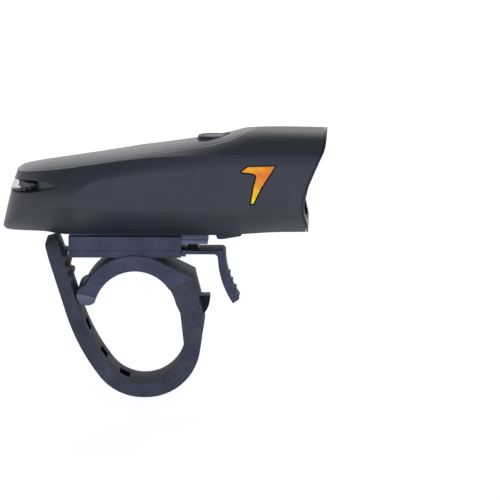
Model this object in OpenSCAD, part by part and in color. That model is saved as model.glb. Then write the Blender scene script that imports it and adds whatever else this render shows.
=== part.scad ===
// Bike headlight on a quick-release handlebar bracket.
// Origin on the handlebar's axis, X forward, Z up, millimetres.
// The lamp's own pieces are drawn with height 0 on its underside and lifted to lamp_z.

/* [Handlebar clamp] */
// Diameter of the handlebar
bar_d = 25.4; // [22:0.1:31.8]
// Wall of the saddle over the bar
saddle_wall = 4.75; // [4:0.05:6]
// Width of the saddle along the bar
saddle_w = 22; // [19:0.5:28]
// Radius of the rounded lip at the saddle's rear end
lip_r = 3.2; // [2.8:0.1:3.6]

/* [Strap] */
// Thickness of the rubber strap
strap_t = 4.2; // [3.4:0.1:5]
// Width of the strap
strap_w = 22; // [18:0.5:28]
// How far the loop's bottom bend hangs below the bar's axis
bend_drop = 9.8; // [8:0.1:14]
// Radius of the long curve of the strap's tail
tail_sweep = 60; // [50:1:80]
// How far the end of the pull tab stays below the lamp's floor
tab_gap = 1.4; // [0:0.1:4]
// Length of a strap window, along the strap
slot_l = 3.6; // [3.4:0.1:4.5]
// Width of a strap window
slot_w = 8; // [7:0.5:12]
// Spacing of the strap windows
slot_pitch = 10.4; // [9:0.1:13]

/* [Shoe and lever] */
// Length of the shoe that takes the lamp's rail
shoe_l = 34.8; // [30:0.1:40]
// Width of the shoe
shoe_w = 18; // [17:0.1:22]
// Height of the shoe
shoe_h = 6.35; // [6:0.05:8]
// Width of the release lever
lever_w = 13; // [10:0.5:16]
// Thickness of the lever's spring arm
lever_t = 1; // [0.8:0.1:1.4]
// Reach of the lever in front of the shoe
lever_reach = 13.6; // [12:0.1:18]
// Length of the lever's thumb piece, along its curve
thumb_l = 15.4; // [12:0.1:20]

/* [Rail] */
// Length of the lamp's slide rail
rail_l = 42.8; // [40:0.1:43.6]
// Width of the rail's head
rail_w = 13; // [11:0.1:14]
// Width of the rail's neck
neck_w = 9; // [7:0.1:10]
// Height of the rail under the lamp
rail_h = 3.4; // [3.2:0.05:4]
// Thickness of the rail's head
head_t = 1.2; // [1:0.05:1.5]

/* [Lamp body] */
// Reach of the lamp behind the bar
tail_reach = 41.1; // [39:0.1:46]
// Reach of the hood in front of the bar
hood_reach = 59.4; // [58:0.1:64]
// Width over the two flat side panels
lamp_w = 33.2; // [32:0.1:38]
// Wall of the moulded shell
wall = 1.8; // [1.4:0.1:2.2]
// Floor of the shell
floor_t = 2; // [1.6:0.1:2.4]
// Depth of the bezel round the front edge
bezel_d = 0.8; // [0.6:0.1:1.4]
// How far the lens sits behind the front edge
lens_set = 3.2; // [2:0.1:4]

/* [Top strip and button] */
// Greatest width of the grey top strip
strip_w = 25.2; // [23:0.1:25.4]
// Thickness of the strip at its middle
strip_t = 2.5; // [2.2:0.1:2.7]
// Thickness of the seal under the strip
seal_t = 0.4; // [0.3:0.1:0.6]
// Length of the power button
button_l = 9.8; // [8:0.1:11]
// Width of the power button
button_w = 9; // [7:0.1:9.2]
// Travel of the power button
button_travel = 0.8; // [0.5:0.1:1]

/* [Light and battery] */
// Diameter of the battery cell
cell_d = 14.2; // [13:0.1:15]
// Length of the battery cell
cell_l = 50; // [46:0.5:52]
// Thickness of the lens
lens_t = 2; // [1.6:0.1:2.4]
// Diameter of the reflector's mouth
reflector_d = 22; // [18:0.5:23]
// Depth of the reflector's bowl
reflector_depth = 7.8; // [6:0.2:8]
// Diameter of the light source's board
led_board_d = 18; // [14:0.5:19]
// Length of the circuit board
board_l = 36; // [34:0.5:37]
// Width of the circuit board
board_w = 20; // [19:0.5:22]

/* [Clearances] */
// Gap between pieces that slide on each other
slide_gap = 0.3; // [0.25:0.05:0.4]
// Gap round a piece that is set into another
fit_gap = 0.1; // [0.05:0.05:0.2]

/* [Hidden] */
$fn = 64;

ABS = "#1b1d1f";
NYLON = "#141516";
RUBBER = "#1d1e20";
STRIP = "#5b5f62";
STEEL = "#b9bcc0";
CLEAR = "#dfe8ee";
AMBER = "#d9771c";
BOARD = "#1f5c3a";

far = 200;
bar_r = bar_d / 2;

// A point at radius r and angle a.
function pol(r, a) = [r * cos(a), r * sin(a)];
function lerp(a, b, t) = a + (b - a) * t;

// A smooth curve through a few [x, value] points that never overshoots them.
function secant(p, i) = (p[i + 1][1] - p[i][1]) / (p[i + 1][0] - p[i][0]);
function slope(p, i) =
    i == 0 ? secant(p, 0) :
    i == len(p) - 1 ? secant(p, i - 1) :
    let (a = secant(p, i - 1), b = secant(p, i)) a * b <= 0 ? 0 : 2 * a * b / (a + b);
function span(p, x, i = 0) = i >= len(p) - 2 || x < p[i + 1][0] ? i : span(p, x, i + 1);
function curve(p, x) =
    let (i = span(p, x), h = p[i + 1][0] - p[i][0], t = max(0, min(1, (x - p[i][0]) / h)))
    p[i][1] * (2 * t^3 - 3 * t^2 + 1) + p[i + 1][1] * (3 * t^2 - 2 * t^3)
    + h * slope(p, i) * (t^3 - 2 * t^2 + t) + h * slope(p, i + 1) * (t^3 - t^2);

// Faces of a grid of points, rows by columns, without those that have no area.
function has_area(p, f) = norm(cross(p[f[1]] - p[f[0]], p[f[2]] - p[f[0]])) > 1e-5;
function quad(a, b, c, d) = [[a, b, c], [a, c, d]];

// Turns a profile drawn in X and Z into a solid of width w across the middle.
module across(w) {
    rotate([90, 0, 0])
        linear_extrude(w, center = true)
            children();
}

// Turns a profile drawn in Y and Z into a solid from x0 to x1.
module along(x0, x1) {
    translate([x0, 0, 0])
        rotate([90, 0, 90])
            linear_extrude(x1 - x0)
                children();
}

// Points along an arc from one angle to another.
function arc(centre, r, from, to, steps) =
    [for (i = [0 : steps]) centre + pol(r, lerp(from, to, i / steps))];

// Part of a ring between two angles less than a half turn apart.
module ring_part(centre, r_in, r_out, from, to) {
    translate(centre)
        intersection() {
            difference() {
                circle(r = r_out);
                circle(r = r_in);
            }
            polygon([[0, 0], pol(far, from), pol(far, (from + to) / 2), pol(far, to)]);
        }
}

// A box from corner a to corner b.
module box(a, b) {
    translate(a)
        cube(b - a);
}

// A round tube of wire along points, with flat ends.
WIRE_SIDES = 8;
module wire(points, r) {
    n = len(points);
    ring = [for (i = [0 : n - 1])
        let (d = points[min(i + 1, n - 1)] - points[max(i - 1, 0)], t = d / norm(d),
            s = cross(t, abs(t[2]) > 0.9 ? [0, 1, 0] : [0, 0, 1]), u = s / norm(s), v = cross(t, u))
        for (k = [0 : WIRE_SIDES - 1])
            points[i] + r * (cos(360 * k / WIRE_SIDES) * u + sin(360 * k / WIRE_SIDES) * v)];
    side = [for (i = [0 : n - 2], k = [0 : WIRE_SIDES - 1])
        let (a = i * WIRE_SIDES + k, b = i * WIRE_SIDES + (k + 1) % WIRE_SIDES)
        each quad(a, a + WIRE_SIDES, b + WIRE_SIDES, b)];
    first = [for (k = [0 : WIRE_SIDES - 1]) k];
    last = [for (k = [WIRE_SIDES - 1 : -1 : 0]) (n - 1) * WIRE_SIDES + k];
    polyhedron(ring, concat(side, [first, last]));
}

// Heights of the bracket, from the bar up.
shoe_rise = 4;
shoe_bottom = bar_r + shoe_rise;
shoe_top = shoe_bottom + shoe_h;
lamp_gap = 0.95;
lamp_z = shoe_top + lamp_gap;
shoe_front = 14.2;
shoe_back = shoe_front - shoe_l;

module at_lamp() {
    translate([0, 0, lamp_z])
        children();
}

// Rail, charging port and socket, each placed from the one behind it, and the cell behind the socket.
rail_inset = 0.2;
rail_back = shoe_back + rail_inset;
rail_front = rail_back + rail_l;
port_from_rail = 6.4;
port_x = rail_front + port_from_rail;
port_l = 4.2;
port_w = 8.6;
socket = [2.8, 7.5, 4.6];
socket_flange = [6.2, 10.6, 0.8];
socket_drop = 1.2;
socket_wall = 0.5;
socket_gap = 0.4;
cell_front = port_x - socket_flange[0] / 2 - socket_gap;

// The body lines of the moulded housing, each a height or a half width against X.
tail_room = 12;
tail_x = -max(tail_reach, cell_l - cell_front + tail_room);
hood_x = hood_reach;
half_w = lamp_w / 2;
panel_tip = tail_x + 22.8;
belt_edge = 0.3;

// Lower edge of the shell, flat over the rail.
keel_z = [[tail_x, 0.6], [tail_x + 12, 0.9], [rail_back - 1, 0],
    [rail_front + 2, 0], [hood_x - 14, 1.1], [hood_x - 5, 1.2]];
keel_y = [[tail_x, half_w - 9.6], [tail_x + 16, half_w - 8], [0, half_w - 7], [hood_x, half_w - 6]];

// Widest line: it climbs from the tail and splits into the lower and upper edges of the flat panel.
belt_rise = [[tail_x, 1.4], [tail_x + 2.7, 4.1], [tail_x + 7.1, 7.1], [tail_x + 10.3, 9],
    [tail_x + 14.1, 10.6], [panel_tip, 11.8]];
belt_low_z = concat(belt_rise, [[panel_tip + 3, 10], [panel_tip + 8.7, 8.6], [0, 8.2], [14.7, 8.1],
    [hood_x - 6, 9]]);
belt_high_z = concat([for (p = belt_rise) p + [0, belt_edge]],
    [[panel_tip + 1.1, 13.6], [panel_tip + 3.9, 15.5], [panel_tip + 7.7, 17], [panel_tip + 11.5, 17.9],
    [3.1, 19.1], [9, 19.9], [17.6, 20.5], [hood_x - 4, 20.9]]);
belt_y = [[tail_x, half_w - 3], [tail_x + 11, half_w - 1.4], [panel_tip, half_w - 0.2],
    [panel_tip + 8, half_w], [hood_x, half_w]];

// Shoulder crease, and the crown line along the middle of the top.
nose_x = tail_x + 4.5;
shoulder_z = [[nose_x, 19], [nose_x + 1.2, 19.4], [nose_x + 12.6, 20.6], [-8.6, 22.9], [4.5, 24.8],
    [19.7, 25.6], [hood_x - 24, 26], [hood_x, 26]];
shoulder_y = [[nose_x, half_w - 5.6], [nose_x + 12.6, half_w - 3.8], [-8.6, half_w - 2.8],
    [4.5, half_w - 1.7], [19.7, half_w - 0.9], [hood_x - 24, half_w - 0.6], [hood_x, half_w - 0.6]];
crown_z = [[nose_x, 19], [nose_x + 2.5, 20.3], [-9, 24.4], [28, 30.1], [hood_x - 24, 31.7],
    [hood_x - 18, 31.9], [hood_x, 31.6]];
// How square the crown is: soft along the strip, squarer over the hood.
crown_power = [[tail_x, 2.2], [10, 2.3], [hood_x - 22, 3.4], [hood_x - 10, 4], [hood_x, 4]];

// Front edge: it leans back under the hood and comes forward again at the chin.
front_x = [[1.7, hood_x - 5.9], [3.7, hood_x - 6], [6.5, hood_x - 6.7], [9, hood_x - 7.1],
    [11.7, hood_x - 7], [15.3, hood_x - 6], [19.5, hood_x - 4.3], [24.2, hood_x - 2.2],
    [27.9, hood_x - 0.6], [32.3, hood_x]];

// Kinds of row: lower side, panel, upper side and crown.
LOWER = 0;
PANEL = 1;
UPPER = 2;
CROWN = 3;
lower_bulge = 1.1;
// The lowest share of the panel is tucked in a little.
tuck = 0.25;
tuck_share = 0.15;
function panel_tuck(row) = row[0] == PANEL ? tuck * max(0, 1 - row[1] / tuck_share) : 0;
// The upper side swells at the tail and flattens into the panel's plane towards the front.
upper_bulge = [[tail_x, 0.9], [panel_tip + 6, 0.9], [20, 0.2], [hood_x, 0.2]];
function side_bulge(kind, x) = kind == LOWER ? lower_bulge : kind == UPPER ? curve(upper_bulge, x) : 0;
// Where the rounded tail starts for the keel, belt and shoulder lines, how square it is there,
// and where it ends.
round_start = [tail_x + 0.6, tail_x, tail_x, nose_x];
round_power = [2.2, 2, 2, 3.2];
round_end = tail_x + 17;

// The crown's rows crowd towards the shoulder, where it bends most.
crown_crowding = 1.5;
function rows(lower, panel, upper, crown) = concat(
    [for (i = [0 : lower - 1]) [LOWER, i / lower]],
    [for (share = panel) [PANEL, share]],
    [for (i = [0 : upper - 1]) [UPPER, i / upper]],
    [for (i = [0 : crown]) [CROWN, (i / crown)^crown_crowding]]);

function line_z(k, x) = curve([keel_z, belt_low_z, belt_high_z, shoulder_z][k], x);
function line_y(k, x) = curve([keel_y, belt_y, belt_y, shoulder_y][k], x);
function row_mix(row, ends) =
    row[0] == CROWN ? ends[3] : lerp(ends[row[0]], ends[row[0] + 1], row[1]);

// Height and half width of a row of the outside, at X.
function row_z(row, x) = row[0] == CROWN
    ? lerp(line_z(3, x), curve(crown_z, x), 1 - (1 - row[1])^curve(crown_power, x))
    : lerp(line_z(row[0], x), line_z(row[0] + 1, x), row[1]);
function row_y(row, x) = row[0] == CROWN
    ? line_y(3, x) * (1 - row[1])
    : lerp(line_y(row[0], x), line_y(row[0] + 1, x), row[1])
        + side_bulge(row[0], x) * 4 * row[1] * (1 - row[1]) - panel_tuck(row);

// How far a skin stays inside the outside: at the sides, floor and roof.
roof_skin = 1.8;
roof_t = strip_t + seal_t + roof_skin;
OUTSIDE = [0, 0, 0];
CAVITY = [wall, floor_t, roof_t];
SEATED = CAVITY + fit_gap * [1, 1, 1];
LOOSE = CAVITY + slide_gap * [1, 1, 1];
cavity_back = tail_x + 12;
cavity_round = 9;
// The roof is thinner in front of the strip's seat.
roof_share = [[hood_x - 22.2, 1], [hood_x - 16, 0.55]];
function inward_z(row, inset, x) = row[0] == LOWER ? inset[1] * (1 - row[1]) :
    row[0] == PANEL ? 0 :
    -inset[2] * curve(roof_share, x) * (row[0] == UPPER ? row[1] : 1);
function inward_y(row, inset) = row[0] == CROWN ? inset[0] * (1 - row[1]) : inset[0];
function skin_point(row, x, share, inset) =
    [x, (row_y(row, x) - inward_y(row, inset)) * share, row_z(row, x) + inward_z(row, inset, x)];
// The front edge lies on one surface, so X follows the height of the inset point.
function row_front(row, inset) = curve(front_x, row_z(row, hood_x) + inward_z(row, inset, hood_x));

// Columns run round the tail, as angles, and then to the front, as shares of the length.
function columns(turns, steps) = concat([for (i = [0 : turns - 1]) [90 * i / turns, 0]],
    [for (i = [0 : steps]) [90, (i / steps)^1.15]]);
function rounded(c, power) = c >= 1 ? 0 : (1 - c^power)^(1 / power);
function outside_point(row, col, step) =
    let (start = row_mix(row, round_start), c = cos(col[0]), front = row_front(row, OUTSIDE) - step,
        x = col[0] < 90 ? round_end - (round_end - start) * c : lerp(round_end, front, col[1]))
    skin_point(row, x, rounded(c, row_mix(row, round_power)), OUTSIDE);
function cavity_point(row, col, step) =
    let (c = cos(col[0]), end = cavity_back + cavity_round,
        x = col[0] < 90 ? end - cavity_round * c : lerp(end, row_front(row, CAVITY) - step, col[1]))
    skin_point(row, x, sin(col[0]), CAVITY);

// One ring goes up the left side, over the crown and down the right side.
function both_sides(half) = concat(half,
    [for (i = [len(half) - 2 : -1 : 0]) [half[i][0], -half[i][1], half[i][2]]]);
function front_ring(inset, step) = both_sides(
    [for (r = ROWS) skin_point(r, row_front(r, inset) - step, 1, inset)]);
function cross_ring(inset, x) = both_sides([for (r = ROWS) skin_point(r, x, 1, inset)]);
function ring_faces(n, rings, first) = [for (c = [0 : rings - 2], i = [0 : n - 1])
    let (a = first + c * n + i, b = first + c * n + (i + 1) % n)
    each quad(a, b, b + n, a + n)];
// A cap joins each left point to its right twin.
function cap_faces(n, first) = [for (i = [0 : (n - 3) / 2])
    let (a = first + i, b = first + i + 1, c = first + n - 2 - i, d = first + n - 1 - i)
    each quad(a, b, c, d)];
function flipped(faces) = [for (f = faces) [f[2], f[1], f[0]]];
module solid(points, faces) {
    polyhedron(points, [for (f = faces) if (has_area(points, f)) f]);
}

ROWS = rows(5, [0, tuck_share, 0.6], 7, 8);
RING = 2 * len(ROWS) - 1;
SHELL_COLUMNS = columns(14, 38);
CAVITY_COLUMNS = columns(5, 16);

// The shell: outside, cavity and the edge that joins them at the front.
module shell(step) {
    outside = [for (c = SHELL_COLUMNS) each both_sides([for (r = ROWS) outside_point(r, c, step)])];
    inside = [for (c = CAVITY_COLUMNS) each both_sides([for (r = ROWS) cavity_point(r, c, step)])];
    last = len(outside) - RING;
    mouth = len(outside) + len(inside) - RING;
    edge = [for (i = [0 : RING - 1])
        let (j = (i + 1) % RING)
        each quad(last + i, last + j, mouth + j, mouth + i)];
    solid(concat(outside, inside), concat(
        flipped(ring_faces(RING, len(SHELL_COLUMNS), 0)),
        ring_faces(RING, len(CAVITY_COLUMNS), len(outside)),
        flipped(edge)));
}

// A slice across the lamp, between two rings.
module slice(back_ring, front_ring) {
    solid(concat(back_ring, front_ring),
        concat(flipped(ring_faces(RING, 2, 0)), cap_faces(RING, 0), flipped(cap_faces(RING, RING))));
}
// A slice that follows the front edge, from back to front behind it.
module front_slice(inset, back, front) {
    slice(front_ring(inset, back), front_ring(inset, front));
}

// A frame that follows the front edge: its section is a loop of corners, each an inset and a step back.
module front_loop(corners) {
    points = [for (c = concat(corners, [corners[0]])) each front_ring(c[0], c[1])];
    solid(points, flipped(ring_faces(RING, len(corners) + 1, 0)));
}

// Top strip: a tongue that narrows to a point under the hood, on a sloping seat.
strip_back = nose_x + 0.7;
strip_tip = hood_x - 22.2;
strip_half = strip_w / 2;
strip_y = [[strip_back, strip_half - 3], [strip_back + 5, strip_half - 2.4],
    [strip_back + 9.6, strip_half - 1.2], [strip_back + 17, strip_half - 0.4], [-1.5, strip_half],
    [8, strip_half - 0.4], [strip_tip - 19.9, strip_half - 1.6], [strip_tip - 12.7, strip_half - 2],
    [strip_tip - 8.2, strip_half - 3.3], [strip_tip - 5.2, strip_half - 4.4],
    [strip_tip - 2.3, strip_half - 7.7], [strip_tip, 0.6]];
strip_round = 4;
seat_ledge = 2.6;
STRIP_STEPS = 30;
// Rounded at the back, then along the edge to the tip.
strip_xs = concat([for (i = [1 : 6]) strip_back + strip_round * (1 - cos(15 * i))],
    [for (i = [1 : STRIP_STEPS]) lerp(strip_back + strip_round, strip_tip, i / STRIP_STEPS)]);
function strip_edge(x) = curve(strip_y, x)
    * (x < strip_back + strip_round ? sqrt(1 - ((strip_back + strip_round - x) / strip_round)^2) : 1);
// Height of the crowned top at a place on it.
function shoulder_half(x) = line_y(3, x)
    * rounded(max(0, (round_end - x) / (round_end - nose_x)), round_power[3]);
function top_z(x, y) = lerp(line_z(3, x), curve(crown_z, x),
    1 - min(1, abs(y) / shoulder_half(x))^curve(crown_power, x));
seat_slope = atan2(curve(crown_z, 28) - curve(crown_z, -9), 37);
function seat_z(x) = curve(crown_z, -9) + (x + 9) * tan(seat_slope) - strip_t;

module strip_outline(inset) {
    right = [for (x = strip_xs) if (strip_edge(x) > inset) [x, strip_edge(x) - inset]];
    left = [for (i = [len(right) - 1 : -1 : 0]) [right[i][0], -right[i][1]]];
    polygon(concat(right, left));
}

// A layer between two depths measured from the strip's seat.
module seat_layer(low, high) {
    translate([-9, 0, seat_z(-9)])
        rotate([0, -seat_slope, 0])
            box([-far / 2, -far / 2, low], [far / 2, far / 2, high]);
}

module strip_prism(inset, low, high) {
    intersection() {
        linear_extrude(far / 2)
            strip_outline(inset);
        seat_layer(low, high);
    }
}

// Rear mouth: a wedge that closes towards the sides, round a core.
mouth_low = 12.8;
mouth_high = 17.4;
mouth_close = [tail_x + 17.7, 15.5];
mouth_depth = 4.5;
mouth_wall = 1.4;
mouth_run_out = 4;
module mouth_wedge(gap) {
    across(lamp_w + 2)
        polygon([[tail_x - 2, mouth_low + gap], [tail_x + 5.6, mouth_low + gap],
            [tail_x + 10, mouth_low + 0.8 + gap], [tail_x + 13.8, mouth_low + 1.8 + gap],
            mouth_close - [4 * gap, 0], [tail_x + 15.1, mouth_high - 0.6 - gap],
            [tail_x + 11, mouth_high - 0.2 - gap], [tail_x - 2, mouth_high - gap]]);
}
module mouth_core() {
    core_back = nose_x + mouth_depth;
    core_end = mouth_close[0] + mouth_run_out;
    side = [for (i = [1 : 8])
        let (x = core_end - (core_end - core_back) * cos(90 * i / 8))
        [x, (curve(belt_y, x) - mouth_wall) * sin(90 * i / 8)]];
    edge = concat([[core_back, 0]], side, [[0, half_w - mouth_wall]]);
    linear_extrude(lamp_w)
        polygon(concat(edge, [for (i = [len(edge) - 1 : -1 : 1]) [edge[i][0], -edge[i][1]]]));
}

// Side-light window: a bent bar, wide at the top and narrow at the bottom.
window_x = hood_x - 26.5;
window_z = 10.6;
window_t = 1.6;
window_points = [[0, 10.2], [2.1, 11.8], [10.7, 12], [8.4, 8.3], [6.5, 5.4], [5.1, 2.7], [4, 0.3],
    [2.9, 0], [3.7, 5.1], [4.6, 8.5], [4.3, 9.2], [2.9, 9.6], [0.4, 9.8]];
module window_outline(grow) {
    translate([window_x, window_z])
        offset(delta = grow)
            polygon(window_points);
}
module side_window(side) {
    translate([0, side * (half_w - window_t / 2), 0])
        across(window_t)
            window_outline(-fit_gap);
}

// Rubber cover of the charging port, in front of the rail.
cover_back = rail_front + 2.6;
cover_front = cover_back + 7.8;
cover_w = 10;
cover_gap = 0.3;

// Screws that hold the rail to the floor.
screw_d = 2.5;
screw_xs = [rail_back + 7, rail_front - 12];

// Power button, its middle, its flat top and the lip that keeps it in.
button_x = 24.15;
button_top = 29.9;
button_lip = 0.8;
stem_d = 4;
stem_l = 1.1;
lip_top = seat_z(button_x - button_l / 2 - button_lip) + seal_t - slide_gap;
lip_bottom = lip_top - button_lip;
stem_bottom = lip_bottom - stem_l;
module button_outline(grow) {
    for (s = [-1, 1])
        translate([button_x + s * (button_l - button_w) / 2, 0])
            circle(d = button_w + 2 * grow);
    translate([button_x, 0])
        square([button_l - button_w, button_w + 2 * grow], center = true);
}

// Light unit, from the lens back to the heat sink.
light_z = 15;
lens_back = lens_set + lens_t;
gasket_t = 0.8;
flange_t = 1.2;
flange_front = lens_back + gasket_t;
bowl_neck_r = 3;
bowl_wall = 0.9;
led_board_t = 1.6;
sink_t = 2.4;
fin_l = 2;
// The light unit's depth from the hood's edge, less where the socket needs the room.
light_depth = 22.4;
unit_t = led_board_t + sink_t;
bowl_back = max(hood_x - light_depth, port_x + socket_flange[0] / 2 + slide_gap + unit_t,
    port_x + socket[0] / 2 + slide_gap + fin_l + unit_t);
sink_front = bowl_back - led_board_t;

// Cradle of the cell and the circuit board over it.
cradle_floor = 0.6;
cell_z = floor_t + fit_gap + cradle_floor + cell_d / 2;
board_rise = 1.1;
board_z = cell_z + cell_d / 2 + board_rise;
board_t = 1.2;
board_end_gap = 0.6;
board_front = sink_front - sink_t - board_end_gap;
board_back = board_front - board_l;
board_top = board_z + board_t;
post_d = 3.4;
post_y = cell_d / 2 + fit_gap + post_d / 2;
cradle_ends = 2.5;
post_inset = 12;
post_depth = 4;
post_xs = [board_back + post_inset, cell_front - cradle_ends - post_d];
board_screw_d = 1.6;

// Moulded shell of the lamp.
module housing() {
    color(ABS)
        at_lamp()
            difference() {
                shell(bezel_d);
                strip_prism(-fit_gap, 0, far / 2);
                intersection() {
                    strip_prism(seat_ledge, -roof_t, 1);
                    box([cavity_back + 3, -half_w, 0], [hood_x, half_w, far]);
                }
                difference() {
                    mouth_wedge(0);
                    mouth_core();
                }
                for (side = [-1, 1])
                    translate([0, side * half_w, 0])
                        across(2 * wall + 1)
                            window_outline(0);
                box([port_x - port_l / 2, -port_w / 2, -1],
                    [port_x + port_l / 2, port_w / 2, floor_t + 1]);
                for (x = screw_xs)
                    translate([x, 0, -1])
                        cylinder(d = screw_d + 2 * fit_gap, h = floor_t + 2);
            }
}

// Frame round the front edge; its skirt goes into the shell and holds the lens.
bezel_lip = 0.8;
module front_bezel() {
    inner = CAVITY + bezel_lip * [1, 1, 1];
    face_back = bezel_d - 2 * fit_gap;
    skirt_back = lens_set - fit_gap;
    color(ABS)
        at_lamp()
            front_loop([[OUTSIDE, face_back], [OUTSIDE, 0], [inner, 0], [inner, skirt_back],
                [SEATED, skirt_back], [SEATED, face_back]]);
}

module front_lens() {
    color(CLEAR)
        at_lamp()
            front_slice(SEATED, lens_back, lens_set);
}

gasket_w = 1.6;
module lens_gasket() {
    inner = SEATED + gasket_w * [1, 1, 1];
    back = flange_front - fit_gap;
    front = lens_back + fit_gap;
    color(RUBBER)
        at_lamp()
            front_loop([[SEATED, back], [SEATED, front], [inner, front], [inner, back]]);
}

// Profile of the bowl, as radius against distance from its neck.
BOWL_STEPS = 10;
function bowl_r(t) = sqrt(lerp(bowl_neck_r^2, (reflector_d / 2)^2, t));
module reflector_bowl() {
    inner = [for (i = [0 : BOWL_STEPS]) [bowl_r(i / BOWL_STEPS), reflector_depth * i / BOWL_STEPS]];
    outer = [for (i = [BOWL_STEPS : -1 : 0]) inner[i] + [bowl_wall, 0]];
    tube = [[reflector_d / 2, hood_x], [reflector_d / 2 + bowl_wall, hood_x]];
    translate([bowl_back, 0, light_z])
        rotate([0, 90, 0])
            rotate_extrude()
                polygon(concat(inner, tube, outer));
}
module reflector() {
    color(STEEL)
        at_lamp() {
            intersection() {
                reflector_bowl();
                front_slice(LOOSE, hood_x - bowl_back + 1, flange_front + flange_t / 2);
            }
            difference() {
                front_slice(SEATED, flange_front + flange_t, flange_front);
                translate([0, 0, light_z])
                    rotate([0, 90, 0])
                        cylinder(d = reflector_d + bowl_wall, h = far);
            }
        }
}

module led_board() {
    color(CLEAR)
        at_lamp()
            translate([sink_front, 0, light_z])
                rotate([0, 90, 0])
                    cylinder(d = led_board_d, h = led_board_t);
}

// Square base with a silicone dome on it.
emitter_w = 3.4;
emitter_t = 0.7;
dome_d = 3;
module led_emitter() {
    color("#f2d36b")
        at_lamp()
            translate([bowl_back, 0, light_z]) {
                box([0, -emitter_w / 2, -emitter_w / 2], [emitter_t, emitter_w / 2, emitter_w / 2]);
                intersection() {
                    translate([emitter_t, 0, 0])
                        sphere(d = dome_d);
                    box([emitter_t / 2, -emitter_w, -emitter_w], [far, emitter_w, emitter_w]);
                }
            }
}

// Plate that fits the shell behind the light source, with short fins on its back.
fin_t = 1;
fin_pitch = 3.2;
fin_rise = 3;
lead_notch_w = 8;
module heat_sink() {
    color(STEEL)
        at_lamp() {
            difference() {
                slice(cross_ring(LOOSE, sink_front - sink_t), cross_ring(LOOSE, sink_front));
                box([sink_front - sink_t - 1, -lead_notch_w / 2, light_z + led_board_d / 2],
                    [sink_front + 1, lead_notch_w / 2, far]);
            }
            for (i = [-2 : 2])
                translate([sink_front - sink_t - fin_l, i * fin_pitch - fin_t / 2, floor_t + fin_rise])
                    cube([fin_l + sink_t / 2, fin_t, cell_d - fin_rise]);
        }
}

// Round cell with its raised front contact.
contact_d = 5;
contact_t = 0.6;
module battery_cell() {
    color("#2f5d8a")
        at_lamp()
            translate([cell_front - cell_l, 0, cell_z])
                rotate([0, 90, 0]) {
                    cylinder(d = cell_d, h = cell_l);
                    cylinder(d = contact_d, h = cell_l + contact_t);
                }
}

// Trough on the floor, with four posts for the circuit board.
cradle_wall = 1.2;
cradle_chamfer = [2.4, 3];
cradle_half = cell_d / 2 + fit_gap + cradle_wall;
module battery_cradle() {
    base = floor_t + fit_gap;
    foot = cradle_half - cradle_chamfer[0];
    color("#3a3d40")
        at_lamp() {
            difference() {
                along(cell_front - cell_l + cradle_ends, cell_front - cradle_ends)
                    polygon([[-foot, base], [foot, base], [cradle_half, base + cradle_chamfer[1]],
                        [cradle_half, cell_z], [-cradle_half, cell_z],
                        [-cradle_half, base + cradle_chamfer[1]]]);
                translate([-far / 2, 0, cell_z])
                    rotate([0, 90, 0])
                        cylinder(d = cell_d + 2 * fit_gap, h = far);
            }
            for (x = post_xs, side = [-1, 1])
                translate([x, side * post_y, cell_z - post_depth])
                    difference() {
                        cylinder(d = post_d, h = board_z - cell_z + post_depth);
                        translate([0, 0, cradle_wall])
                            cylinder(d = board_screw_d, h = far);
                    }
        }
}

module circuit_board() {
    color(BOARD)
        at_lamp()
            difference() {
                box([board_back, -board_w / 2, board_z], [board_front, board_w / 2, board_top]);
                for (x = post_xs, side = [-1, 1])
                    translate([x, side * post_y, 0])
                        cylinder(d = board_screw_d + 2 * fit_gap, h = far);
            }
}

// Four pan-head screws into the cradle's posts.
board_screw_head = [3, 0.9];
board_screw_l = 4;
module board_screws() {
    shank = board_screw_l + board_t + board_screw_head[1];
    color(STEEL)
        at_lamp()
            for (x = post_xs, side = [-1, 1])
                translate([x, side * post_y, 0]) {
                    translate([0, 0, board_top])
                        cylinder(d = board_screw_head[0], h = board_screw_head[1]);
                    translate([0, 0, board_z - board_screw_l])
                        cylinder(d = board_screw_d - 2 * fit_gap, h = shank);
                }
}

// Press switch under the button, with a tall plunger.
switch_w = 6;
switch_h = 3.5;
plunger_d = 3.4;
module tact_switch() {
    plunger_top = stem_bottom - button_travel - slide_gap;
    color(STEEL)
        at_lamp() {
            translate([button_x, 0, board_top + switch_h / 2])
                cube([switch_w, switch_w, switch_h], center = true);
            translate([button_x, 0, board_top])
                cylinder(d = plunger_d, h = plunger_top - board_top);
        }
}

// Charging socket, mouth down through the port.
module usb_socket() {
    seat = curve(keel_z, port_x + socket_flange[0] / 2) + floor_t + fit_gap;
    mouth = seat - socket_drop;
    opening = [socket[0] - 2 * socket_wall, socket[1] - 2 * socket_wall, socket[2] + socket_drop];
    color(STEEL)
        at_lamp()
            translate([port_x, 0, mouth])
                difference() {
                    union() {
                        translate([0, 0, socket[2] / 2])
                            cube(socket, center = true);
                        translate([0, 0, seat - mouth + socket_flange[2] / 2])
                            cube(socket_flange, center = true);
                    }
                    cube(opening, center = true);
                }
}

// Two small lights on the board, behind the switch.
status_led = [1.6, 0.8, 0.6];
status_from_switch = 8;
status_y = 2.4;
module status_leds() {
    color("#e8f4e0")
        at_lamp()
            for (side = [-1, 1])
                translate([button_x - status_from_switch, side * status_y, board_top + status_led[2] / 2])
                    cube(status_led, center = true);
}

// Wires that run inside the lamp.
lead_r = 0.55;
LEAD = "#b3261e";
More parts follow.
